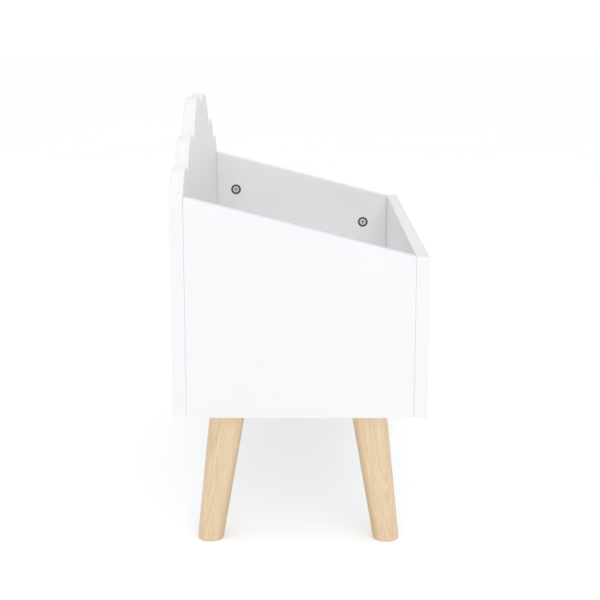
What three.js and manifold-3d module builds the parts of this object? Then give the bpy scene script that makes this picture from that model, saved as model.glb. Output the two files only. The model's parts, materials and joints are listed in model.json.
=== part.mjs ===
// An open-topped toy box: four white boards and a floor board on four splayed wooden legs.
// The front wall is low, the side walls slope up to the back, and the back wall ends in a cloud outline.
// Millimetres. +X is the width, -Y the front and +Z up. The origin is on the floor, under the middle.
import * as THREE from 'three';
import { mergeVertices } from 'three/addons/utils/BufferGeometryUtils.js';
import Module from 'manifold-3d';

const wasm = await Module();
wasm.setup();

// Driving dimensions
const BOX_WIDTH = 600;
const BOX_DEPTH = 300;
const BOARD = 16;                 // thickness of every board
const LEG_HEIGHT = 155;
const FRONT_HEIGHT = 192;         // front wall, above the underside of the box
const SIDE_BACK_HEIGHT = 261;     // side walls where they meet the back wall

// The cloud: three round lobes on each side of the middle, heights above the underside of the box
const CROWN_LOBE = { x: 45, z: 275, radius: 87 };
const SHOULDER_LOBE = { x: 161, z: 258, radius: 62 };
const END_LOBE = { x: BOX_WIDTH / 2 - 53, z: 237, radius: 53 };
const LOBE_STEPS = 16;            // straight steps in each lobe's arc

// Legs: round, tapered and leaning outwards by the same slope along X and along Y
const LEG_TOP_RADIUS = 21.5;
const LEG_FOOT_RADIUS = 15.6;
const LEG_FOOT_ROUNDING = 3;
const LEG_SLOPE = Math.tan(THREE.MathUtils.degToRad(8));
const LEG_INSET_X = 39;           // from the box's outer faces to the middle of a leg's top
const FRONT_LEG_INSET = 67.5;
const BACK_LEG_INSET = 63;

// Cam locks and their bolts
const CAM_RADIUS = 7.4;
const CAM_BORE_RADIUS = 7.5;
const CAM_BORE_DEPTH = 13;
const CAM_HEIGHT = 12.6;
const CAM_CAP_RADIUS = 4.9;       // the raised disc that carries the screwdriver recess
const CAM_CAP_HEIGHT = 3;
const FRONT_CAM_SETBACK = 38;     // from a cam's axis to the end of its board
const BACK_CAM_SETBACK = 30;
const FLOOR_CAM_SETBACK = 34;
const CAM_BELOW_SIDE_EDGE = 51.5; // upper cams, below the sloping edge
const LOWER_CAM_HEIGHT = 50;
const FLOOR_CAM_Y = 40;
const CAM_HEAD_ROOM = 3.8;        // half the height of the pocket for a bolt's head
const CAM_NECK_ROOM = 2.5;        // half the height of the slot for a bolt's neck
const CAM_POCKET_RADIUS = 5.3;
const CAM_ECCENTRICITY = 0.35;    // offset of the pocket, which draws the bolt in as the cam turns
const RECESS_LENGTH = 6.4;
const RECESS_WIDTH = 1.5;
const RECESS_DEPTH = 2.6;
const BOLT_BORE_RADIUS = 4;
const BOLT_SHANK_RADIUS = 3;
const BOLT_NECK_RADIUS = 2.2;
const BOLT_HEAD_RADIUS = 3.5;
const BOLT_HEAD_START = 0.6;      // distances along a bolt, from the cam's axis
const BOLT_CONE_START = 2.6;
const BOLT_CONE_END = 4.3;
const BOLT_NECK_END = 8.2;
const BOLT_END_CHAMFER = 1;
const BOLT_THREAD_RADIUS = 3.1;
const BOLT_THREAD_LENGTH = 10.5;

// Wooden dowels
const DOWEL_RADIUS = 4;
const DOWEL_CHAMFER = 1;
const DOWEL_SHORT_END = 9;        // depth in the face of a board
const DOWEL_LONG_END = 20;        // depth in the end of a board, or in a leg
const FLOOR_DOWEL_X = 150;

// Leg fixings: a bolt through the floor board into a threaded insert, beside a dowel that stops turning
const LEG_BOLT_RADIUS = 3;
const LEG_BOLT_HEAD_RADIUS = 8;
const LEG_BOLT_HEAD_HEIGHT = 2.2;
const LEG_BOLT_HEAD_CHAMFER = 1;
const LEG_BOLT_SOCKET_RADIUS = 2.3;
const LEG_BOLT_SOCKET_DEPTH = 1.6;
const LEG_INSERT_RADIUS = 5;
const LEG_INSERT_LENGTH = 13;
const LEG_DOWEL_OFFSET = 13;      // outwards from the bolt, along Y

const GAP = 0.3;                  // left round whatever sits in a drilled hole
const OVERSHOOT = 1;              // how far a drill's shape runs past the face it goes into
const BORE_SIDES = 24;
const ROD_SIDES = 12;
const LEG_SIDES = 32;

// Derived places, measured from the underside of the box
const HALF_WIDTH = BOX_WIDTH / 2;
const HALF_DEPTH = BOX_DEPTH / 2;
const INNER_HALF_WIDTH = HALF_WIDTH - BOARD;
const INNER_HALF_DEPTH = HALF_DEPTH - BOARD;
const SIDE_MIDDLE_X = HALF_WIDTH - BOARD / 2;
const SIDES = [{ name: 'left', sign: -1 }, { name: 'right', sign: 1 }];
const ENDS = [
  { name: 'front', sign: -1, legInset: FRONT_LEG_INSET, camSetback: FRONT_CAM_SETBACK },
  { name: 'back', sign: 1, legInset: BACK_LEG_INSET, camSetback: BACK_CAM_SETBACK },
];
const CAM_BITE_ANGLES = { back_right_upper: 20 };   // degrees short of the stop, where it isn't 0

// Materials: one for each mesh
const FINISHES = {
  lacquer: { color: 0xf2f3f5, roughness: 0.45, metalness: 0 },
  legWood: { color: 0xe3c59c, roughness: 0.55, metalness: 0 },
  dowelWood: { color: 0xd9bc90, roughness: 0.75, metalness: 0 },
  zinc: { color: 0xb9bbbd, roughness: 0.38, metalness: 0.9 },
  steel: { color: 0xa9abad, roughness: 0.3, metalness: 1 },
};

function makeMesh(name, geometry, finish) {
  const mesh = new THREE.Mesh(geometry, new THREE.MeshStandardMaterial(FINISHES[finish]));
  mesh.name = name;
  return mesh;
}

// Solids

function solidOf(geometry) {
  const bare = geometry.clone();
  bare.deleteAttribute('normal');
  bare.deleteAttribute('uv');
  const merged = mergeVertices(bare);
  return new wasm.Manifold(new wasm.Mesh({
    numProp: 3,
    vertProperties: new Float32Array(merged.attributes.position.array),
    triVerts: new Uint32Array(merged.index.array),
  }));
}

function geometryOf(solid) {
  const mesh = solid.getMesh();
  const geometry = new THREE.BufferGeometry();
  geometry.setAttribute('position', new THREE.BufferAttribute(mesh.vertProperties, 3));
  geometry.setIndex(new THREE.BufferAttribute(mesh.triVerts, 1));
  return geometry;
}

function cut(geometry, cutters) {
  let solid = solidOf(geometry);
  for (const cutter of cutters) {
    solid = solid.subtract(solidOf(cutter));
  }
  return geometryOf(solid);
}

function box(width, depth, height) {
  return new THREE.BoxGeometry(width, depth, height);
}

// A solid of revolution about +Z. The profile is a list of [radius, z] that starts and ends on the axis.
function turned(profile, sides) {
  const points = profile.map(([radius, z]) => new THREE.Vector2(radius, z));
  return new THREE.LatheGeometry(points, sides).rotateX(Math.PI / 2);
}

// A plain round rod from the start point along a direction
function rod(radius, start, direction, length, sides = ROD_SIDES) {
  const geometry = turned([[0, 0], [radius, 0], [radius, length], [0, length]], sides);
  geometry.applyQuaternion(new THREE.Quaternion().setFromUnitVectors(new THREE.Vector3(0, 0, 1), direction));
  return geometry.translate(start.x, start.y, start.z);
}

// Boards. Each one's mesh stands where the board does, and its holes are given in the box's frame.

function placeBoard(name, geometry, position, holes) {
  const board = makeMesh(name, geometry, 'lacquer');
  board.position.copy(position);
  const back = position.clone().negate();
  board.geometry = cut(geometry, holes.map((hole) => hole.clone().translate(back.x, back.y, back.z)));
  return board;
}

// Where two lobes cross, on the upper side of both
function lobeCrossing(first, second) {
  const across = new THREE.Vector2(second.x - first.x, second.z - first.z);
  const distance = across.length();
  const along = (distance ** 2 + first.radius ** 2 - second.radius ** 2) / (2 * distance);
  const aside = Math.sqrt(first.radius ** 2 - along ** 2);
  across.normalize();
  const candidates = [-1, 1].map((side) => new THREE.Vector2(
    first.x + across.x * along - across.y * aside * side,
    first.z + across.y * along + across.x * aside * side,
  ));
  return candidates[0].y > candidates[1].y ? candidates[0] : candidates[1];
}

function mirrored(lobe) {
  return { ...lobe, x: -lobe.x };
}

// The cloud's outline, anticlockwise from the lower left corner: up the right end and back over six lobes
function cloudOutline() {
  const rightHalf = [END_LOBE, SHOULDER_LOBE, CROWN_LOBE];
  const lobes = [...rightHalf, ...rightHalf.map(mirrored).reverse()];
  const outline = [new THREE.Vector2(-HALF_WIDTH, 0), new THREE.Vector2(HALF_WIDTH, 0)];
  let start = new THREE.Vector2(HALF_WIDTH, END_LOBE.z);
  lobes.forEach((lobe, index) => {
    const next = lobes[index + 1];
    const end = next ? lobeCrossing(lobe, next) : new THREE.Vector2(-HALF_WIDTH, END_LOBE.z);
    const arc = new THREE.ArcCurve(
      lobe.x, lobe.z, lobe.radius,
      Math.atan2(start.y - lobe.z, start.x - lobe.x),
      Math.atan2(end.y - lobe.z, end.x - lobe.x),
      false,
    );
    outline.push(...arc.getPoints(LOBE_STEPS).slice(0, next ? LOBE_STEPS : LOBE_STEPS + 1));
    start = end;
  });
  return outline;
}

function makeBackPanel(holes) {
  const shape = new THREE.Shape(cloudOutline());
  const geometry = new THREE.ExtrudeGeometry(shape, { depth: BOARD, bevelEnabled: false });
  geometry.rotateX(Math.PI / 2);   // the outline stands up and the thickness runs towards the front
  return placeBoard('back_panel', geometry, new THREE.Vector3(0, HALF_DEPTH, 0), holes);
}

function makeFrontPanel(holes) {
  const middle = new THREE.Vector3(0, -HALF_DEPTH + BOARD / 2, FRONT_HEIGHT / 2);
  return placeBoard('front_panel', box(BOX_WIDTH, BOARD, FRONT_HEIGHT), middle, holes);
}

function sideEdgeHeight(y) {
  const share = (y + INNER_HALF_DEPTH) / (2 * INNER_HALF_DEPTH);
  return FRONT_HEIGHT + (SIDE_BACK_HEIGHT - FRONT_HEIGHT) * share;
}

function makeSidePanel(side, holes) {
  const shape = new THREE.Shape([
    new THREE.Vector2(-INNER_HALF_DEPTH, 0),
    new THREE.Vector2(INNER_HALF_DEPTH, 0),
    new THREE.Vector2(INNER_HALF_DEPTH, SIDE_BACK_HEIGHT),
    new THREE.Vector2(-INNER_HALF_DEPTH, FRONT_HEIGHT),
  ]);
  const geometry = new THREE.ExtrudeGeometry(shape, { depth: BOARD, bevelEnabled: false });
  geometry.translate(0, 0, -BOARD / 2);
  geometry.rotateX(Math.PI / 2).rotateZ(Math.PI / 2);   // outline up in Z and along Y, thickness along X
  const middle = new THREE.Vector3(side.sign * SIDE_MIDDLE_X, 0, 0);
  return placeBoard(`${side.name}_side_panel`, geometry, middle, holes);
}

function makeBottomPanel(holes) {
  const geometry = box(2 * INNER_HALF_WIDTH, 2 * INNER_HALF_DEPTH, BOARD);
  return placeBoard('bottom_panel', geometry, new THREE.Vector3(0, 0, BOARD / 2), holes);
}

// Cam locks. A cam's own frame has +Z out of the board's face and +X towards the bolt.

function makeCamGeometry() {
  const body = turned([
    [0, -CAM_HEIGHT],
    [CAM_RADIUS, -CAM_HEIGHT],
    [CAM_RADIUS, -CAM_CAP_HEIGHT],
    [CAM_CAP_RADIUS, -CAM_CAP_HEIGHT],
    [CAM_CAP_RADIUS, 0],
    [0, 0],
  ], BORE_SIDES);
  const middle = -BOARD / 2;
  const reach = 2 * CAM_RADIUS;    // long enough for a cutter to run right out of the cam
  const pocketFloor = new THREE.Vector3(-CAM_ECCENTRICITY, 0, middle - CAM_HEAD_ROOM);
  const up = new THREE.Vector3(0, 0, 1);
  const pocket = rod(CAM_POCKET_RADIUS, pocketFloor, up, 2 * CAM_HEAD_ROOM, BORE_SIDES);
  const neckSlot = box(2 * reach, reach + CAM_NECK_ROOM, 2 * CAM_NECK_ROOM);
  neckSlot.translate(0, (CAM_NECK_ROOM - reach) / 2, middle);
  const mouth = box(reach, 2 * CAM_HEAD_ROOM, 2 * CAM_HEAD_ROOM);
  mouth.translate(-reach / 2, 0, middle);
  const recess = [
    box(RECESS_LENGTH, RECESS_WIDTH, 2 * RECESS_DEPTH),
    box(RECESS_WIDTH, RECESS_LENGTH, 2 * RECESS_DEPTH),
  ];
  return cut(body, [pocket, neckSlot, mouth, ...recess]);
}

// A bolt's profile runs from its head, near the cam's axis, to its threaded end in the other board
function makeCamBoltGeometry(setback) {
  const threadEnd = setback + BOLT_THREAD_LENGTH;
  const geometry = turned([
    [0, BOLT_HEAD_START],
    [BOLT_HEAD_RADIUS - BOLT_END_CHAMFER, BOLT_HEAD_START],
    [BOLT_HEAD_RADIUS, BOLT_HEAD_START + BOLT_END_CHAMFER],
    [BOLT_HEAD_RADIUS, BOLT_CONE_START],
    [BOLT_NECK_RADIUS, BOLT_CONE_END],
    [BOLT_NECK_RADIUS, BOLT_NECK_END],
    [BOLT_SHANK_RADIUS, BOLT_NECK_END],
    [BOLT_SHANK_RADIUS, setback],
    [BOLT_THREAD_RADIUS, setback],
    [BOLT_THREAD_RADIUS, threadEnd - BOLT_END_CHAMFER],
    [BOLT_THREAD_RADIUS - BOLT_END_CHAMFER, threadEnd],
    [0, threadEnd],
  ], ROD_SIDES);
  return geometry.rotateY(Math.PI / 2).translate(0, 0, -BOARD / 2);
}

// One cam joint. centre is where the cam's axis meets the board's face, facing points out of that face
// and reach points from the cam to the board that the bolt is screwed into, a setback away.
function makeCamJoint(prefix, label, centre, facing, reach, setback) {
  const aside = new THREE.Vector3().crossVectors(facing, reach);
  const place = new THREE.Matrix4().makeBasis(reach, aside, facing).setPosition(centre);
  const cam = makeMesh(`${prefix}_lock_${label}`, makeCamGeometry(), 'zinc');
  cam.rotation.z = THREE.MathUtils.degToRad(CAM_BITE_ANGLES[label] ?? 0);
  const bolt = makeMesh(`${prefix}_bolt_${label}`, makeCamBoltGeometry(setback), 'steel');
  const group = new THREE.Group();
  group.applyMatrix4(place);
  group.add(cam, bolt);

  const inwards = facing.clone().negate();
  const boltAxis = centre.clone().addScaledVector(inwards, BOARD / 2);
  const boardEnd = boltAxis.clone().addScaledVector(reach, setback);
  const camMouth = centre.clone().addScaledVector(facing, OVERSHOOT);
  return {
    group,
    camBoardHoles: [
      rod(CAM_BORE_RADIUS, camMouth, inwards, CAM_BORE_DEPTH + OVERSHOOT, BORE_SIDES),
      rod(BOLT_BORE_RADIUS, boltAxis, reach, setback + OVERSHOOT),
    ],
    boltBoardHoles: [
      rod(BOLT_THREAD_RADIUS + GAP, boardEnd.clone().addScaledVector(reach, -OVERSHOOT), reach,
        BOLT_THREAD_LENGTH + GAP + OVERSHOOT),
    ],
  };
}

// Two cam joints at each upright corner, in the side panel's inner face
function makeCornerCamJoint(side, end, level) {
  const y = end.sign * (INNER_HALF_DEPTH - end.camSetback);
  const height = level === 'upper' ? sideEdgeHeight(y) - CAM_BELOW_SIDE_EDGE : LOWER_CAM_HEIGHT;
  return makeCamJoint(
    'cam', `${end.name}_${side.name}_${level}`,
    new THREE.Vector3(side.sign * INNER_HALF_WIDTH, y, height),
    new THREE.Vector3(-side.sign, 0, 0),
    new THREE.Vector3(0, end.sign, 0),
    end.camSetback,
  );
}

// Two cam joints at each end of the floor board, in its underside
function makeFloorCamJoint(side, end) {
  return makeCamJoint(
    'floor_cam', `${end.name}_${side.name}`,
    new THREE.Vector3(side.sign * (INNER_HALF_WIDTH - FLOOR_CAM_SETBACK), end.sign * FLOOR_CAM_Y, 0),
    new THREE.Vector3(0, 0, -1),
    new THREE.Vector3(side.sign, 0, 0),
    FLOOR_CAM_SETBACK,
  );
}

// Dowels. seam is where the dowel crosses from one piece to the other, and reach points into the piece
// that takes its short end.
function makeDowelJoint(name, seam, reach) {
  const length = DOWEL_LONG_END + DOWEL_SHORT_END;
  const geometry = turned([
    [0, 0],
    [DOWEL_RADIUS - DOWEL_CHAMFER, 0],
    [DOWEL_RADIUS, DOWEL_CHAMFER],
    [DOWEL_RADIUS, length - DOWEL_CHAMFER],
    [DOWEL_RADIUS - DOWEL_CHAMFER, length],
    [0, length],
  ], ROD_SIDES);
  const dowel = makeMesh(name, geometry, 'dowelWood');
  dowel.position.copy(seam).addScaledVector(reach, -DOWEL_LONG_END);
  dowel.quaternion.setFromUnitVectors(new THREE.Vector3(0, 0, 1), reach);
  const back = reach.clone().negate();
  return {
    dowel,
    shortHole: rod(DOWEL_RADIUS + GAP, seam.clone().addScaledVector(back, OVERSHOOT), reach,
      DOWEL_SHORT_END + GAP + OVERSHOOT),
    longHole: rod(DOWEL_RADIUS + GAP, seam.clone().addScaledVector(reach, OVERSHOOT), back,
      DOWEL_LONG_END + GAP + OVERSHOOT),
  };
}

function makeCornerDowelJoint(side, end) {
  const upperCamHeight = sideEdgeHeight(end.sign * (INNER_HALF_DEPTH - end.camSetback)) - CAM_BELOW_SIDE_EDGE;
  const height = (LOWER_CAM_HEIGHT + upperCamHeight) / 2;
  const seam = new THREE.Vector3(side.sign * SIDE_MIDDLE_X, end.sign * INNER_HALF_DEPTH, height);
  return makeDowelJoint(`corner_dowel_${end.name}_${side.name}`, seam, new THREE.Vector3(0, end.sign, 0));
}

function makeFloorDowelJoint(side, end) {
  const seam = new THREE.Vector3(side.sign * FLOOR_DOWEL_X, end.sign * INNER_HALF_DEPTH, BOARD / 2);
  return makeDowelJoint(`floor_dowel_${end.name}_${side.name}`, seam, new THREE.Vector3(0, end.sign, 0));
}

// Legs, with the bolt, insert and dowel that hold each one under the floor board

function makeLegGeometry(side, end, holes) {
  const midArc = LEG_FOOT_ROUNDING * (1 - Math.SQRT1_2);   // the rounding's middle, from both faces
  const geometry = turned([
    [0, -LEG_HEIGHT],
    [LEG_FOOT_RADIUS - LEG_FOOT_ROUNDING, -LEG_HEIGHT],
    [LEG_FOOT_RADIUS - midArc, -LEG_HEIGHT + midArc],
    [LEG_FOOT_RADIUS, -LEG_HEIGHT + LEG_FOOT_ROUNDING],
    [LEG_TOP_RADIUS, 0],
    [0, 0],
  ], LEG_SIDES);
  const lean = new THREE.Matrix4().makeShear(0, 0, 0, 0, -side.sign * LEG_SLOPE, -end.sign * LEG_SLOPE);
  return cut(geometry.applyMatrix4(lean), holes);
}

function makeInsertGeometry() {
  const bore = LEG_BOLT_RADIUS + GAP;
  const top = -GAP;
  const foot = top - LEG_INSERT_LENGTH;
  return turned([
    [bore, foot],
    [LEG_INSERT_RADIUS, foot],
    [LEG_INSERT_RADIUS, top],
    [bore, top],
    [bore, foot],
  ], ROD_SIDES);
}

function makeLegBoltGeometry() {
  const headTop = BOARD + LEG_BOLT_HEAD_HEIGHT;
  const socketFloor = headTop - LEG_BOLT_SOCKET_DEPTH;
  return turned([
    [0, -LEG_INSERT_LENGTH],
    [LEG_BOLT_RADIUS, -LEG_INSERT_LENGTH],
    [LEG_BOLT_RADIUS, BOARD],
    [LEG_BOLT_HEAD_RADIUS, BOARD],
    [LEG_BOLT_HEAD_RADIUS - LEG_BOLT_HEAD_CHAMFER, headTop],
    [LEG_BOLT_SOCKET_RADIUS, headTop],
    [LEG_BOLT_SOCKET_RADIUS, socketFloor],
    [0, socketFloor],
  ], ROD_SIDES);
}

function makeLegJoint(side, end) {
  const label = `${end.name}_${side.name}`;
  const up = new THREE.Vector3(0, 0, 1);
  const down = new THREE.Vector3(0, 0, -1);
  const dowelSeam = new THREE.Vector3(0, end.sign * LEG_DOWEL_OFFSET, 0);
  const { dowel, shortHole, longHole } = makeDowelJoint(`leg_dowel_${label}`, dowelSeam, up);
  const above = up.clone().multiplyScalar(OVERSHOOT);
  const below = down.clone().multiplyScalar(OVERSHOOT);
  const insertHole = rod(LEG_INSERT_RADIUS + GAP, above, down, LEG_INSERT_LENGTH + 2 * GAP + OVERSHOOT);
  const boltHole = rod(LEG_BOLT_RADIUS + GAP, below, up, BOARD + 2 * OVERSHOOT);
  const group = new THREE.Group();
  group.position.set(side.sign * (HALF_WIDTH - LEG_INSET_X), end.sign * (HALF_DEPTH - end.legInset), 0);
  group.add(
    makeMesh(`leg_${label}`, makeLegGeometry(side, end, [insertHole, longHole]), 'legWood'),
    makeMesh(`leg_insert_${label}`, makeInsertGeometry(), 'steel'),
    makeMesh(`leg_bolt_${label}`, makeLegBoltGeometry(), 'steel'),
    dowel,
  );
  const { x, y, z } = group.position;
  return { group, bottomHoles: [boltHole, shortHole].map((hole) => hole.clone().translate(x, y, z)) };
}

// The assembly. Its frame has z = 0 at the underside of the box until it is lifted onto the legs.
function assemble() {
  const toyBox = new THREE.Group();
  const holes = { front: [], back: [], left: [], right: [], bottom: [] };
  for (const side of SIDES) {
    for (const end of ENDS) {
      for (const level of ['lower', 'upper']) {
        const corner = makeCornerCamJoint(side, end, level);
        holes[side.name].push(...corner.camBoardHoles);
        holes[end.name].push(...corner.boltBoardHoles);
        toyBox.add(corner.group);
      }
      const cornerDowel = makeCornerDowelJoint(side, end);
      holes[side.name].push(cornerDowel.longHole);
      holes[end.name].push(cornerDowel.shortHole);

      const floorCam = makeFloorCamJoint(side, end);
      holes.bottom.push(...floorCam.camBoardHoles);
      holes[side.name].push(...floorCam.boltBoardHoles);

      const floorDowel = makeFloorDowelJoint(side, end);
      holes.bottom.push(floorDowel.longHole);
      holes[end.name].push(floorDowel.shortHole);

      const leg = makeLegJoint(side, end);
      holes.bottom.push(...leg.bottomHoles);
      toyBox.add(cornerDowel.dowel, floorCam.group, floorDowel.dowel, leg.group);
    }
    toyBox.add(makeSidePanel(side, holes[side.name]));
  }
  toyBox.add(makeFrontPanel(holes.front), makeBackPanel(holes.back), makeBottomPanel(holes.bottom));
  toyBox.position.z = LEG_HEIGHT;
  return toyBox;
}

const assembly = new THREE.Group();
assembly.add(assemble());

export default assembly;
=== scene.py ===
"""The looks of an open-topped toy box: lacquered boards, a cloud-shaped back and four splayed wooden legs."""

import json
import math

import bmesh
import bpy
from mathutils import Matrix, Vector


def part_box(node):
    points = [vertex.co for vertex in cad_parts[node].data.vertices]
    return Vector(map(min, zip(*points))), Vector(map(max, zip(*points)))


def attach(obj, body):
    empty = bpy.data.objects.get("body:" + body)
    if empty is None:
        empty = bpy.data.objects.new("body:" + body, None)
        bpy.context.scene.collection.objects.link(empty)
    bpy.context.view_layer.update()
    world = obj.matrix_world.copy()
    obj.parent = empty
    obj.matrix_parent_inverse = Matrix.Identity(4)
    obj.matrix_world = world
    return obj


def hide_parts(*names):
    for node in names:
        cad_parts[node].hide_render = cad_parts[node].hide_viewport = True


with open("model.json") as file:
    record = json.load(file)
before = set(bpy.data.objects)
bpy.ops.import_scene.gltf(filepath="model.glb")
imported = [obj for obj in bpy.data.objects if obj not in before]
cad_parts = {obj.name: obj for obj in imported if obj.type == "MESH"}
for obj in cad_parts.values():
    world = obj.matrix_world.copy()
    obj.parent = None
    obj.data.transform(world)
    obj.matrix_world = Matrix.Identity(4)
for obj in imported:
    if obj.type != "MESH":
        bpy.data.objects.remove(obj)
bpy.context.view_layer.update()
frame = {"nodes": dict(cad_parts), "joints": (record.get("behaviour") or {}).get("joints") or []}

MM = 0.001
ROOT = "toy_box"
SIDES = ("left", "right")
ENDS = ("front", "back")

# Boards
EDGE_RADIUS = 1.4 * MM
CORNER_RADIUS = 1.8 * MM
EDGE_STEPS = 5
CORNER_STEPS = 4
FLAT_ANGLE = 35              # degrees between faces, above which an edge stays sharp

# The cloud's lobes on the right half: middle across, middle above the board's lower edge, and radius
END_LOBE = (247 * MM, 237 * MM, 53 * MM)
SHOULDER_LOBE = (161 * MM, 258 * MM, 62 * MM)
CROWN_LOBE = (45 * MM, 275 * MM, 87 * MM)
LOBE_STEPS = 48

# Cam locks and the bores that hold them
CAM_RADIUS = 7.4 * MM
CAM_HEIGHT = 12.6 * MM
CAM_CAP_RADIUS = 4.9 * MM
CAM_CAP_HEIGHT = 3 * MM
CAM_FILLET = 0.3 * MM
CAM_POCKET_RADIUS = 5.3 * MM
CAM_ECCENTRICITY = 0.35 * MM
CAM_HEAD_ROOM = 3.8 * MM
CAM_NECK_ROOM = 2.5 * MM
BORE_RADIUS = 7.5 * MM
BORE_DEPTH = 13 * MM
BORE_CHAMFER = 0.15 * MM
RECESS_LENGTH = 6.4 * MM
RECESS_WIDTH = 1.5 * MM
RECESS_DEPTH = 2.6 * MM
RECESS_TAPER = 0.75
RECESS_HUB_RADIUS = 1.1 * MM      # the raised middle of the cross
RECESS_HUB_DEPTH = 0.5 * MM
CAM_SIDES = 96
POCKET_SIDES = 64
HUB_SIDES = 24

# Legs
LEG_TOP_RADIUS = 21.5 * MM
LEG_FOOT_RADIUS = 15.6 * MM
FOOT_ROUNDING = 3 * MM
FOOT_STEPS = 8
LEG_SIDES = 96
PITH_ALONG = 60 * MM            # from a leg's middle to the middle of the growth rings and of the painted shade
PITH_ASIDE = 40 * MM
# Painted shade: each leg is darker on its side towards the box's middle, where shade falls under the box
PAINTED_SHADE_EDGE = (66 * MM, 78 * MM)     # distances from the pith, over which the painted shade fades from all dark to all light
PAINTED_SHADE_TINT = (0.80, 0.77, 0.70)
GRAIN_SHIFT = 50 * MM           # along the grain, so that left and right legs differ

# Leg bolts
BOLT_SHANK_RADIUS = 3 * MM
BOLT_HEAD_RADIUS = 8 * MM
BOLT_SOCKET_RADIUS = 2.3 * MM
BOLT_SOCKET_DEPTH = 1.6 * MM
BOLT_HEAD_FILLET = 0.7 * MM
BOLT_END_CHAMFER = 0.3 * MM
BOLT_SIDES = 64
SOCKET_SIDES = 6

OVERSHOOT = 2 * MM              # how far a cutter runs past the face it cuts

# Patterns in the wood: their scale per metre across the grain, and the share of it used along the grain
BEND_SCALE, BEND_STRETCH = 18, 0.3
BEND_AMOUNT = 8 * MM
RING_SCALE, RING_STRETCH = 150, 0.04
STREAK_SCALE, STREAK_STRETCH = 620, 0.03
FLECK_SCALE, FLECK_STRETCH = 1700, 0.05
PATCH_SCALE, PATCH_STRETCH = 30, 0.3


# ---------------------------------------------------------------- node helpers

def start_material(name):
    material = bpy.data.materials.new(name)
    material.use_nodes = True
    return material, material.node_tree


def add_node(tree, kind, inputs=None, **settings):
    node = tree.nodes.new(kind)
    for key, value in settings.items():
        setattr(node, key, value)
    for key, value in (inputs or {}).items():
        if isinstance(value, bpy.types.NodeSocket):
            tree.links.new(value, node.inputs[key])
        else:
            node.inputs[key].default_value = value
    return node


def noise(tree, vector, scale, detail=4.0, roughness=0.55, distortion=0.0):
    node = add_node(tree, "ShaderNodeTexNoise", {
        "Vector": vector, "Scale": scale, "Detail": detail,
        "Roughness": roughness, "Distortion": distortion,
    })
    return node.outputs["Fac"]


def ramp(tree, factor, stops):
    node = add_node(tree, "ShaderNodeValToRGB", {"Fac": factor})
    elements = node.color_ramp.elements
    while len(elements) < len(stops):
        elements.new(0.5)
    for element, (position, value) in zip(elements, stops):
        element.position = position
        element.color = (*value, 1) if isinstance(value, tuple) else (value, value, value, 1)
    return node.outputs["Color"]


def spread(tree, factor, low, high):
    """Turns a noise value round 0.5 into one between low and high."""
    node = add_node(tree, "ShaderNodeMapRange", {
        "Value": factor, "From Min": 0.3, "From Max": 0.7, "To Min": low, "To Max": high,
    })
    return node.outputs["Result"]


def stretched(tree, vector, scale):
    node = add_node(tree, "ShaderNodeMapping", {"Vector": vector, "Scale": scale})
    return node.outputs["Vector"]


def mix(tree, factor, first, second, blend="MIX"):
    node = add_node(tree, "ShaderNodeMix", data_type="RGBA", blend_type=blend)
    sockets = {"Factor": 0, "A": 6, "B": 7}
    for key, value in (("Factor", factor), ("A", first), ("B", second)):
        socket = node.inputs[sockets[key]]
        if isinstance(value, bpy.types.NodeSocket):
            tree.links.new(value, socket)
        else:
            socket.default_value = value if key == "Factor" else (*value, 1)
    return node.outputs[2]


def bump(tree, height, strength, distance, normal=None):
    inputs = {"Height": height, "Strength": strength, "Distance": distance}
    if normal is not None:
        inputs["Normal"] = normal
    return add_node(tree, "ShaderNodeBump", inputs).outputs["Normal"]


def set_surface(tree, **inputs):
    shader = tree.nodes["Principled BSDF"]
    for key, value in inputs.items():
        socket = shader.inputs[key.replace("_", " ")]
        if isinstance(value, bpy.types.NodeSocket):
            tree.links.new(value, socket)
        else:
            socket.default_value = value


def object_coordinates(tree):
    return add_node(tree, "ShaderNodeTexCoord").outputs["Object"]


# ---------------------------------------------------------------- materials

def make_lacquer():
    """Satin white lacquer, sprayed on a smooth board: faint mottling and a fine orange-peel surface."""
    material, tree = start_material("white_lacquer")
    place = object_coordinates(tree)
    mottling = noise(tree, place, 9, detail=3)
    colour = ramp(tree, mottling, [(0.3, (0.925, 0.926, 0.929)), (0.7, (0.938, 0.939, 0.942))])
    peel = noise(tree, place, 650, detail=2)
    swell = noise(tree, place, 60, detail=2)
    normal = bump(tree, peel, 0.05, 0.0003)
    normal = bump(tree, swell, 0.03, 0.001, normal)
    roughness = spread(tree, noise(tree, place, 22), 0.4, 0.5)
    set_surface(tree, Base_Color=colour, Roughness=roughness, Normal=normal, IOR=1.46)
    return material


def make_fibreboard():
    """The bare brown board that shows where a bore cuts through the lacquer."""
    material, tree = start_material("bare_fibreboard")
    place = object_coordinates(tree)
    fibres = noise(tree, stretched(tree, place, (1, 1, 2.5)), 1500, detail=6, roughness=0.7)
    colour = ramp(tree, fibres, [
        (0.3, (0.06, 0.026, 0.011)), (0.55, (0.16, 0.075, 0.032)), (0.75, (0.36, 0.20, 0.095)),
    ])
    normal = bump(tree, fibres, 0.5, 0.0004)
    set_surface(tree, Base_Color=colour, Roughness=0.92, Normal=normal)
    return material


def shifted(tree, place, share):
    """The coordinates moved across the grain by a share of BEND_AMOUNT, so that the grain wanders."""
    across = add_node(tree, "ShaderNodeCombineXYZ", {"X": share, "Y": share}).outputs["Vector"]
    scaled = add_node(tree, "ShaderNodeVectorMath", {0: across, "Scale": BEND_AMOUNT}, operation="SCALE")
    moved = add_node(tree, "ShaderNodeVectorMath", {0: place, 1: scaled.outputs["Vector"]}, operation="ADD")
    return moved.outputs["Vector"]


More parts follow.
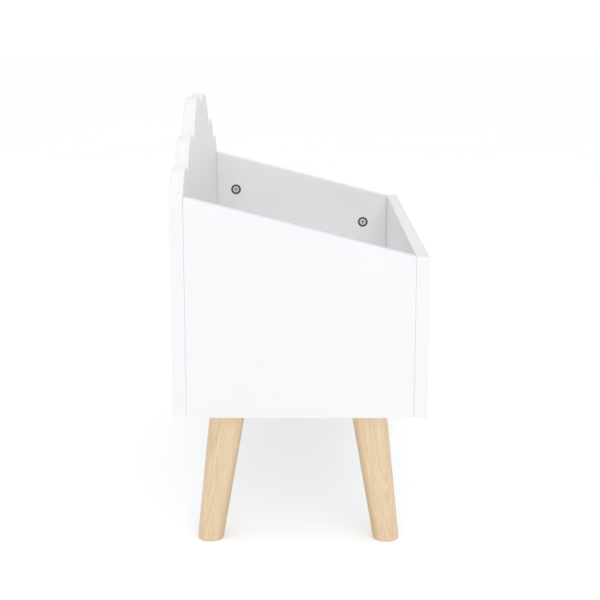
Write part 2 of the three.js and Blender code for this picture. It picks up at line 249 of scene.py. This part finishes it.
def make_wood(name, light, dark, vector_name=None):
    """Pale wood. Growth rings run about the Z axis of the piece's own or its stored coordinates, so a tapered
    piece turned beside that axis shows long arches. Near the axis the wood is darkened as painted shade."""
    material, tree = start_material(name)
    if vector_name:
        place = add_node(tree, "ShaderNodeAttribute", attribute_name=vector_name).outputs["Vector"]
    else:
        place = object_coordinates(tree)
    bend = noise(tree, stretched(tree, place, (1, 1, BEND_STRETCH)), BEND_SCALE, detail=2)
    bent = shifted(tree, place, bend)
    rings = add_node(tree, "ShaderNodeTexWave", {
        "Vector": stretched(tree, bent, (1, 1, RING_STRETCH)), "Scale": RING_SCALE,
        "Distortion": 1.2, "Detail": 2, "Detail Scale": 1.5,
    }, wave_type="RINGS", rings_direction="Z").outputs["Fac"]
    streak_place = stretched(tree, bent, (1, 1, STREAK_STRETCH))
    streaks = noise(tree, streak_place, STREAK_SCALE, detail=5, roughness=0.6)
    flecks = noise(tree, stretched(tree, bent, (1, 1, FLECK_STRETCH)), FLECK_SCALE, detail=2)
    patches = noise(tree, stretched(tree, place, (1, 1, PATCH_STRETCH)), PATCH_SCALE, detail=2)
    # Painted shade: the wood is darker near the rings' axis, which on each leg lies towards the box's middle
    pith_distance = add_node(tree, "ShaderNodeVectorMath", {
        0: stretched(tree, bent, (1, 1, 0)),
    }, operation="LENGTH").outputs["Value"]
    painted_shade = add_node(tree, "ShaderNodeMapRange", {
        "Value": pith_distance, "From Min": PAINTED_SHADE_EDGE[0], "From Max": PAINTED_SHADE_EDGE[1],
        "To Min": 1.0, "To Max": 0.0,
    }).outputs["Result"]

    middle = tuple((a + b) / 2 for a, b in zip(light, dark))
    fleck_colour = tuple(c * 0.74 for c in dark)
    shade = ramp(tree, patches, [(0.3, (0.93, 0.91, 0.88)), (0.7, (1.0, 1.0, 1.0))])
    colour = ramp(tree, rings, [(0.0, light), (0.7, middle), (1.0, dark)])
    colour = mix(tree, 0.65, colour, ramp(tree, streaks, [(0.3, dark), (0.65, light)]))
    colour = mix(tree, ramp(tree, flecks, [(0.6, 0.0), (0.72, 0.35)]), colour, fleck_colour)
    colour = mix(tree, 0.6, colour, shade, "MULTIPLY")
    # The painted shade is laid over the wood's colour here
    colour = mix(tree, painted_shade, colour, mix(tree, 1.0, colour, PAINTED_SHADE_TINT, "MULTIPLY"))
    normal = bump(tree, streaks, 0.25, 0.0002)
    normal = bump(tree, flecks, 0.12, 0.0001, normal)
    roughness = spread(tree, streaks, 0.6, 0.5)
    set_surface(tree, Base_Color=colour, Roughness=roughness, Normal=normal, Specular_IOR_Level=0.06)
    return material


def make_metal(name, light, dark, roughness, grain, metallic=1.0):
    """Bare fixings metal: clouded colour, small pits and uneven gloss."""
    material, tree = start_material(name)
    place = object_coordinates(tree)
    clouds = noise(tree, place, grain * 0.25, detail=5)
    pits = noise(tree, place, grain, detail=4, roughness=0.65)
    colour = ramp(tree, clouds, [(0.3, dark), (0.7, light)])
    normal = bump(tree, pits, 0.25, 0.00008)
    set_surface(tree, Base_Color=colour, Metallic=metallic, Normal=normal,
                Roughness=spread(tree, pits, roughness - 0.08, roughness + 0.1))
    return material


LACQUER = make_lacquer()
FIBREBOARD = make_fibreboard()
LEG_WOOD = make_wood("leg_wood", (0.945, 0.76, 0.54), (0.785, 0.57, 0.345), "grain")
DOWEL_WOOD = make_wood("dowel_wood", (0.70, 0.53, 0.34), (0.55, 0.38, 0.21))
ZINC = make_metal("zinc", (0.93, 0.93, 0.94), (0.78, 0.78, 0.79), 0.5, 1800)
# Painted shade with a brown tint, for the cam's sunken ring round its cap
RIM_SHADE_ZINC = make_metal("rim_zinc_painted_shade", (0.24, 0.125, 0.06), (0.11, 0.055, 0.026), 0.7, 1500, metallic=0.1)
# Painted shade: zinc darkened for the walls and floor of the cross recess
RECESS_SHADE_ZINC = make_metal("recess_zinc_painted_shade", (0.26, 0.24, 0.22), (0.17, 0.16, 0.15), 0.65, 1500, metallic=0.6)
# Painted shade with a tan tint: zinc darker than the cap, for the cross's hub sunk below the face
HUB_SHADE_ZINC = make_metal("hub_zinc_painted_shade", (0.62, 0.50, 0.40), (0.45, 0.36, 0.28), 0.6, 1500, metallic=0.4)
STEEL = make_metal("steel", (0.70, 0.70, 0.72), (0.54, 0.54, 0.55), 0.3, 1400)


# ---------------------------------------------------------------- mesh helpers

def make_object(name, mesh_data, material):
    mesh = bpy.data.meshes.new(name)
    mesh_data.normal_update()
    mesh_data.to_mesh(mesh)
    mesh_data.free()
    mesh.materials.append(material)
    piece = bpy.data.objects.new(name, mesh)
    bpy.context.scene.collection.objects.link(piece)
    return piece


def smooth(piece):
    """Smooth shading on the rounded parts, with the flat faces kept flat."""
    piece.data.shade_smooth()
    piece.data.set_sharp_from_angle(angle=math.radians(FLAT_ANGLE))
    modifier = piece.modifiers.new("flat_faces", "WEIGHTED_NORMAL")
    modifier.keep_sharp = True
    modifier.weight = 100


def rings_to_mesh(rings):
    """A closed skin over rings of points with equal counts. The rings run anticlockwise about the way they
    are stacked."""
    data = bmesh.new()
    loops = [[data.verts.new(point) for point in ring] for ring in rings]
    count = len(rings[0])
    for lower, upper in zip(loops, loops[1:]):
        for i in range(count):
            j = (i + 1) % count
            data.faces.new((lower[i], lower[j], upper[j], upper[i]))
    data.faces.new(list(reversed(loops[0])))
    data.faces.new(loops[-1])
    return data


def turned(profile, sides):
    """A solid of revolution about Z. The profile is a list of (radius, z) from the foot to the top."""
    turns = [2 * math.pi * i / sides for i in range(sides)]
    return rings_to_mesh([
        [Vector((radius * math.cos(turn), radius * math.sin(turn), z)) for turn in turns]
        for radius, z in profile
    ])


def quarter(middle_radius, middle_z, radius, start, end, steps=EDGE_STEPS):
    """Points (radius, z) on a fillet, from one angle to another in degrees."""
    angles = [math.radians(start + (end - start) * i / steps) for i in range(steps + 1)]
    return [(middle_radius + radius * math.cos(a), middle_z + radius * math.sin(a)) for a in angles]


def block(width, depth, height, middle):
    data = bmesh.new()
    place = Matrix.Translation(middle) @ Matrix.Diagonal((width, depth, height, 1))
    bmesh.ops.create_cube(data, size=1, matrix=place)
    return data


def cut(piece, cutters):
    """Takes the cutters out of the piece. The new faces keep the cutters' materials."""
    for cutter in cutters:
        modifier = piece.modifiers.new("cut", "BOOLEAN")
        modifier.operation = "DIFFERENCE"
        modifier.solver = "EXACT"
        modifier.material_mode = "TRANSFER"
        modifier.object = cutter
    graph = bpy.context.evaluated_depsgraph_get()
    mesh = bpy.data.meshes.new_from_object(piece.evaluated_get(graph))
    piece.modifiers.clear()
    piece.data = mesh
    for cutter in cutters:
        bpy.data.objects.remove(cutter)


def inset_outline(outline, distance):
    """The outline moved inwards by a distance, corner by corner. It runs anticlockwise."""
    moved = []
    for i, point in enumerate(outline):
        before = (point - outline[i - 1]).normalized()
        after = (outline[(i + 1) % len(outline)] - point).normalized()
        normal = Vector((-before.y - after.y, before.x + after.x)).normalized()
        lean = normal.dot(Vector((-after.y, after.x)))
        moved.append(point + normal * distance / lean)
    return moved


def round_corners(corners):
    """A polygon of convex corners with each corner turned into a small arc."""
    outline = []
    for i, corner in enumerate(corners):
        before = (corners[i - 1] - corner).normalized()
        after = (corners[(i + 1) % len(corners)] - corner).normalized()
        half = before.angle(after) / 2
        middle = corner + (before + after).normalized() * CORNER_RADIUS / math.sin(half)
        start = corner + before * CORNER_RADIUS / math.tan(half) - middle
        sweep = math.pi - 2 * half
        for k in range(CORNER_STEPS + 1):
            turn = Matrix.Rotation(sweep * k / CORNER_STEPS, 2)
            outline.append(middle + turn @ start)
    return outline


def make_board(name, outline, thickness, place):
    """A flat board with softly rounded edges. place puts the outline's plane and its thickness, which runs
    along local Z from 0, into the frame."""
    quarter_turn = [math.pi / 2 * k / EDGE_STEPS for k in range(EDGE_STEPS + 1)]
    levels = [(EDGE_RADIUS * (1 - math.sin(a)), EDGE_RADIUS * (1 - math.cos(a))) for a in quarter_turn]
    levels += [(inset, thickness - z) for inset, z in reversed(levels)]
    rings = []
    for inset, z in levels:
        rings.append([place @ Vector((p.x, p.y, z)) for p in inset_outline(outline, inset)])
    board = make_object(name, rings_to_mesh(rings), LACQUER)
    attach(board, ROOT)
    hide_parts(name)
    return board


# ---------------------------------------------------------------- the four walls and the floor board

def standing(origin, across, up):
    """A frame whose X runs across, Y up and Z out of the board's plane."""
    across, up = Vector(across), Vector(up)
    out = across.cross(up)
    rotation = Matrix((across, up, out)).transposed().to_4x4()
    return Matrix.Translation(origin) @ rotation


def lobe_crossing(first, second):
    """Where two lobes cross, on their upper side."""
    a, b = Vector(first[:2]), Vector(second[:2])
    across = b - a
    along = (across.length ** 2 + first[2] ** 2 - second[2] ** 2) / (2 * across.length)
    aside = math.sqrt(first[2] ** 2 - along ** 2)
    across.normalize()
    upright = Vector((-across.y, across.x))
    return max((a + across * along + upright * aside * s for s in (-1, 1)), key=lambda p: p.y)


def cloud_outline(half_width):
    """The back panel's outline about its lower edge's middle: straight ends and six round lobes."""
    right = [END_LOBE, SHOULDER_LOBE, CROWN_LOBE]
    lobes = right + [(-x, z, radius) for x, z, radius in reversed(right)]
    starts = [Vector((half_width, END_LOBE[1]))]
    starts += [lobe_crossing(a, b) for a, b in zip(lobes, lobes[1:])]
    ends = starts[1:] + [Vector((-half_width, END_LOBE[1]))]
    lower = [Vector((-half_width, 0)), Vector((half_width, 0))]
    upper = [Vector((half_width, END_LOBE[1])), Vector((-half_width, END_LOBE[1]))]
    lower_points = 2 * (CORNER_STEPS + 1)
    outline = round_corners(lower + upper)[:lower_points]
    for (x, z, radius), start, end in zip(lobes, starts, ends):
        first = math.atan2(start.y - z, start.x - x)
        sweep = (math.atan2(end.y - z, end.x - x) - first) % math.tau
        arc = [first + sweep * i / LOBE_STEPS for i in range(LOBE_STEPS)]
        outline += [Vector((x + radius * math.cos(a), z + radius * math.sin(a))) for a in arc]
    return outline + [ends[-1]]


def make_back_panel():
    low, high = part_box("back_panel")
    place = standing((0, low.y, low.z), (1, 0, 0), (0, 0, 1))
    place = place @ Matrix.Translation((0, 0, -(high.y - low.y)))
    return make_board("back_panel", cloud_outline(high.x), high.y - low.y, place)


def rectangle(width, height):
    corners = [Vector(p) for p in ((0, 0), (width, 0), (width, height), (0, height))]
    return round_corners(corners)


def make_front_panel():
    low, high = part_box("front_panel")
    size = high - low
    place = standing((low.x, high.y, low.z), (1, 0, 0), (0, 0, 1))
    return make_board("front_panel", rectangle(size.x, size.z), size.y, place)


def make_bottom_panel():
    low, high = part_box("bottom_panel")
    size = high - low
    place = standing(low, (1, 0, 0), (0, 1, 0))
    return make_board("bottom_panel", rectangle(size.x, size.y), size.z, place)


def make_side_panel(side):
    name = f"{side}_side_panel"
    low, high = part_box(name)
    front_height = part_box("front_panel")[1].z - low.z
    size = high - low
    corners = [Vector(p) for p in ((0, 0), (size.y, 0), (size.y, size.z), (0, front_height))]
    place = standing(low, (0, 1, 0), (0, 0, 1))
    return make_board(name, round_corners(corners), size.x, place)


# ---------------------------------------------------------------- cam locks

def cam_places():
    """Each cam lock's own frame from its joint: +Z out of the board's face, +X towards its bolt."""
    places = {}
    for joint in frame["joints"]:
        name = joint["child"]
        facing = Vector(joint["axis"])
        centre = Vector(joint["pos_m"])
        low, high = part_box(name.replace("lock", "bolt"))
        reach = (low + high) / 2 - centre
        reach -= facing * reach.dot(facing)
        reach.normalize()
        rotation = Matrix((reach, facing.cross(reach), facing)).transposed().to_4x4()
        bite = Matrix.Rotation(math.radians(-joint["range_deg"][0]), 4, "Z")
        places[name] = Matrix.Translation(centre) @ rotation @ bite
    return places


def make_cutter(data, material, place=Matrix.Identity(4)):
    data.transform(place)
    return make_object("cutter", data, material)


def cross_recess():
    """A tapered screwdriver cross, open upwards past the face."""
    long, wide = RECESS_LENGTH / 2, RECESS_WIDTH / 2
    arm = [(long, -wide), (long, wide), (wide, wide)]
    outline = []
    for quarter_turns in range(4):
        turn = Matrix.Rotation(math.pi / 2 * quarter_turns, 2)
        outline += [turn @ Vector(p) for p in arm]
    rings = []
    for scale, z in ((RECESS_TAPER, -RECESS_DEPTH), (1, 0), (1, RECESS_DEPTH)):
        rings.append([Vector((p.x * scale, p.y * scale, z)) for p in outline])
    # The cross's walls and floor take the darkened zinc: painted shade in the recess
    cross = make_cutter(rings_to_mesh(rings), RECESS_SHADE_ZINC)
    # The hub takes the tan, darkened zinc: painted shade for its depth below the face
    hub = turned([(RECESS_HUB_RADIUS, -2 * RECESS_DEPTH), (RECESS_HUB_RADIUS, -RECESS_HUB_DEPTH)], HUB_SIDES)
    cut(cross, [make_cutter(hub, HUB_SHADE_ZINC)])
    return cross


def make_cam(name, place):
    """A cam with a raised cap and a cross recess. Its open pocket and slot take the bolt's head and neck."""
    low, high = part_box("front_panel")
    middle = -(high.y - low.y) / 2     # the bolt runs along the middle of the board
    profile = [(CAM_RADIUS - CAM_FILLET, -CAM_HEIGHT), (CAM_RADIUS, -CAM_HEIGHT + CAM_FILLET)]
    profile += quarter(CAM_RADIUS - CAM_FILLET, -CAM_CAP_HEIGHT - CAM_FILLET, CAM_FILLET, 0, 90)
    profile += [(CAM_CAP_RADIUS, -CAM_CAP_HEIGHT)]
    profile += quarter(CAM_CAP_RADIUS - CAM_FILLET, -CAM_FILLET, CAM_FILLET, 0, 90)
    cam = make_object(name + "_body", turned(profile, CAM_SIDES), ZINC)
    # Below the cap's rounded edge the cam takes the dark brown copy: painted shade for the sunken ring round
    # the cap
    cam.data.materials.append(RIM_SHADE_ZINC)
    for face in cam.data.polygons:
        if face.center.z < -CAM_FILLET:
            face.material_index = 1
    reach = 2 * CAM_RADIUS
    pocket_ends = (middle - CAM_HEAD_ROOM, middle + CAM_HEAD_ROOM)
    pocket = turned([(CAM_POCKET_RADIUS, z) for z in pocket_ends], POCKET_SIDES)
    pocket.transform(Matrix.Translation((-CAM_ECCENTRICITY, 0, 0)))
    neck_slot = block(2 * reach, reach + CAM_NECK_ROOM, 2 * CAM_NECK_ROOM,
                      (0, (CAM_NECK_ROOM - reach) / 2, middle))
    mouth = block(reach, 2 * CAM_HEAD_ROOM, 2 * CAM_HEAD_ROOM, (-reach / 2, 0, middle))
    cut(cam, [make_cutter(data, ZINC) for data in (pocket, neck_slot, mouth)] + [cross_recess()])
    cam.data.transform(place)
    smooth(cam)
    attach(cam, name)
    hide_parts(name)


def bore_cutter(place):
    """A flat-bottomed bore whose mouth has a small chamfer."""
    profile = [
        (BORE_RADIUS, -BORE_DEPTH),
        (BORE_RADIUS, -BORE_CHAMFER),
        (BORE_RADIUS + BORE_CHAMFER, 0),
        (BORE_RADIUS + BORE_CHAMFER, OVERSHOOT),
    ]
    return make_cutter(turned(profile, CAM_SIDES), FIBREBOARD, place)


# ---------------------------------------------------------------- legs and their bolts

def make_leg(end, side):
    name = f"leg_{end}_{side}"
    low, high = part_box(name)
    height = high.z - low.z
    toward = Vector((1 if side == "right" else -1, 1 if end == "back" else -1))
    # The leg leans outwards: its top touches the inner sides of its box and its foot the outer sides
    inner = Vector((low.x if toward.x > 0 else high.x, low.y if toward.y > 0 else high.y))
    outer = Vector((high.x if toward.x > 0 else low.x, high.y if toward.y > 0 else low.y))
    top = inner + toward * LEG_TOP_RADIUS
    foot = outer - toward * LEG_FOOT_RADIUS
    profile = quarter(LEG_FOOT_RADIUS - FOOT_ROUNDING, FOOT_ROUNDING, FOOT_ROUNDING, -90, 0, FOOT_STEPS)
    profile += [(LEG_TOP_RADIUS, height)]
    leg = make_object(name, turned(profile, LEG_SIDES), LEG_WOOD)
    grain = leg.data.attributes.new("grain", "FLOAT_VECTOR", "POINT")
    # The pith lies towards the middle of the box, so that side of each leg gets the painted shade
    shift = Vector((PITH_ALONG * toward.x, PITH_ASIDE * toward.y, GRAIN_SHIFT * toward.x))
    for vertex, stored in zip(leg.data.vertices, grain.data):
        stored.vector = vertex.co + shift
        share = vertex.co.z / height
        middle = foot.lerp(top, share)
        vertex.co += Vector((middle.x, middle.y, low.z))
    smooth(leg)
    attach(leg, ROOT)
    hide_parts(name)


def make_leg_bolt(end, side):
    name = f"leg_bolt_{end}_{side}"
    low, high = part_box(name)
    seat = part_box("bottom_panel")[1].z
    middle = (low + high) / 2
    profile = [
        (BOLT_SHANK_RADIUS - BOLT_END_CHAMFER, low.z),
        (BOLT_SHANK_RADIUS, low.z + BOLT_END_CHAMFER),
        (BOLT_SHANK_RADIUS, seat),
        (BOLT_HEAD_RADIUS, seat),
    ]
    fillet_radius = BOLT_HEAD_RADIUS - BOLT_HEAD_FILLET
    profile += quarter(fillet_radius, high.z - BOLT_HEAD_FILLET, BOLT_HEAD_FILLET, 0, 90)
    bolt = make_object(name, turned(profile, BOLT_SIDES), STEEL)
    socket_floor, socket_mouth = high.z - BOLT_SOCKET_DEPTH, high.z + OVERSHOOT
    socket_profile = [(BOLT_SOCKET_RADIUS, socket_floor), (BOLT_SOCKET_RADIUS, socket_mouth)]
    cut(bolt, [make_cutter(turned(socket_profile, SOCKET_SIDES), STEEL)])
    bolt.data.transform(Matrix.Translation((middle.x, middle.y, 0)))
    smooth(bolt)
    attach(bolt, ROOT)
    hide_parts(name)


# ---------------------------------------------------------------- the object

def make_toy_box():
    places = cam_places()
    boards = {
        "left": make_side_panel("left"),
        "right": make_side_panel("right"),
        "bottom": make_bottom_panel(),
    }
    front, back = make_front_panel(), make_back_panel()
    bores = {key: [] for key in boards}
    for name, place in places.items():
        make_cam(name, place)
        key = "bottom" if name.startswith("floor") else name.split("_")[3]
        bores[key].append(bore_cutter(place))
    for key, board in boards.items():
        cut(board, bores[key])
    for board in (front, back, *boards.values()):
        smooth(board)
    for end in ENDS:
        for side in SIDES:
            make_leg(end, side)
            make_leg_bolt(end, side)


def dress_hidden_fixings():
    """The fixings inside the boards keep their CAD shapes and get finished materials."""
    finishes = {"dowel": DOWEL_WOOD, "bolt": STEEL, "insert": STEEL}
    for name, node in frame["nodes"].items():
        for word, material in finishes.items():
            if word in name and not name.startswith("leg_bolt"):
                node.data.materials.clear()
                node.data.materials.append(material)


# ---------------------------------------------------------------- floor, light and camera

CAMERA_PLACE = Vector((-1817.2, -8.2, 603.5)) * MM
CAMERA_DOWN = 11.42        # degrees below level
CAMERA_TURN = 0.312        # degrees from +X towards +Y
CAMERA_LENS = 80.34        # mm, on a 36 mm wide sensor

FLOOR_HALF_SIZE = 30       # m
FLOOR_GLOW = 0.165         # a little light of its own, so that the floor reads white
FLOOR_GLOW_COLOUR = (0.95, 0.985, 1.03)

ROOM_LEVEL = 0.22
OVERHEAD_LEVEL = 1.27      # added straight overhead
FRONT_LEVEL = 0.18         # added straight ahead of the near side panel
HORIZON_LEVEL = 0.90       # added along the horizon, for a white backdrop
HORIZON_FADE = (0.02, 0.06)
LIGHT_COLOUR = (0.972, 0.985, 1.0)
LAMP_SIZE = (2.4, 1.8)
LAMP_DISTANCE = 3.2
LAMP_HEIGHT = math.radians(35)     # above level
NEAR_LAMP_POWER = 16.5     # W
NEAR_LAMP_TURN = 192       # degrees from +X towards +Y
FAR_LAMP_POWER = 4
FAR_LAMP_TURN = -12
LAMP_AIM = Vector((0, 0, 0.25))


def make_camera():
    data = bpy.data.cameras.new("camera")
    data.lens = CAMERA_LENS
    data.sensor_width = 36
    camera = bpy.data.objects.new("camera", data)
    camera.location = CAMERA_PLACE
    camera.rotation_euler = (math.radians(90 - CAMERA_DOWN), 0, math.radians(CAMERA_TURN - 90))
    bpy.context.scene.collection.objects.link(camera)
    bpy.context.scene.camera = camera


def make_floor():
    material, tree = start_material("studio_floor")
    place = object_coordinates(tree)
    tint = ramp(tree, noise(tree, place, 1.5, detail=2), [(0.3, 0.965), (0.7, 0.975)])
    set_surface(tree, Base_Color=tint, Roughness=1.0, Specular_IOR_Level=0.0,
                Emission_Color=(*FLOOR_GLOW_COLOUR, 1), Emission_Strength=FLOOR_GLOW)
    data = bmesh.new()
    bmesh.ops.create_grid(data, x_segments=1, y_segments=1, size=FLOOR_HALF_SIZE)
    floor = make_object("studio_floor", data, material)


def calculate(tree, operation, first, second):
    return add_node(tree, "ShaderNodeMath", {0: first, 1: second}, operation=operation).outputs["Value"]


def squared_level(tree, value, level):
    return calculate(tree, "MULTIPLY", calculate(tree, "MULTIPLY", value, value), level)


def make_light():
    """A white horizon with soft light from overhead and from the near side."""
    world = bpy.data.worlds.new("studio")
    world.use_nodes = True
    tree = world.node_tree
    direction = add_node(tree, "ShaderNodeTexCoord").outputs["Generated"]
    split = add_node(tree, "ShaderNodeSeparateXYZ", {0: direction}).outputs
    frontward = calculate(tree, "MAXIMUM", calculate(tree, "MULTIPLY", split["X"], -1.0), 0.0)
    horizon = add_node(tree, "ShaderNodeMapRange", {
        "Value": split["Z"], "From Min": HORIZON_FADE[0], "From Max": HORIZON_FADE[1],
        "To Min": ROOM_LEVEL + HORIZON_LEVEL, "To Max": ROOM_LEVEL,
    }).outputs["Result"]
    level = calculate(tree, "ADD", horizon, squared_level(tree, split["Z"], OVERHEAD_LEVEL))
    level = calculate(tree, "ADD", level, squared_level(tree, frontward, FRONT_LEVEL))
    background = tree.nodes["Background"]
    background.inputs["Color"].default_value = (*LIGHT_COLOUR, 1)
    tree.links.new(level, background.inputs["Strength"])
    bpy.context.scene.world = world


def make_lamp(name, power, turn):
    """A large soft lamp aimed at the box from a direction given in degrees from +X towards +Y."""
    lamp = bpy.data.lights.new(name, "AREA")
    lamp.shape = "RECTANGLE"
    lamp.size, lamp.size_y = LAMP_SIZE
    lamp.energy = power
    lamp.color = LIGHT_COLOUR
    light = bpy.data.objects.new(name, lamp)
    outwards = Vector((
        math.cos(LAMP_HEIGHT) * math.cos(math.radians(turn)),
        math.cos(LAMP_HEIGHT) * math.sin(math.radians(turn)),
        math.sin(LAMP_HEIGHT),
    ))
    light.location = LAMP_AIM + LAMP_DISTANCE * outwards
    light.rotation_euler = (-outwards).to_track_quat("-Z", "Y").to_euler()
    bpy.context.scene.collection.objects.link(light)


make_toy_box()
dress_hidden_fixings()
make_floor()
make_light()
make_lamp("near_lamp", NEAR_LAMP_POWER, NEAR_LAMP_TURN)
make_lamp("far_lamp", FAR_LAMP_POWER, FAR_LAMP_TURN)
make_camera()
bpy.context.scene.view_settings.view_transform = "Standard"
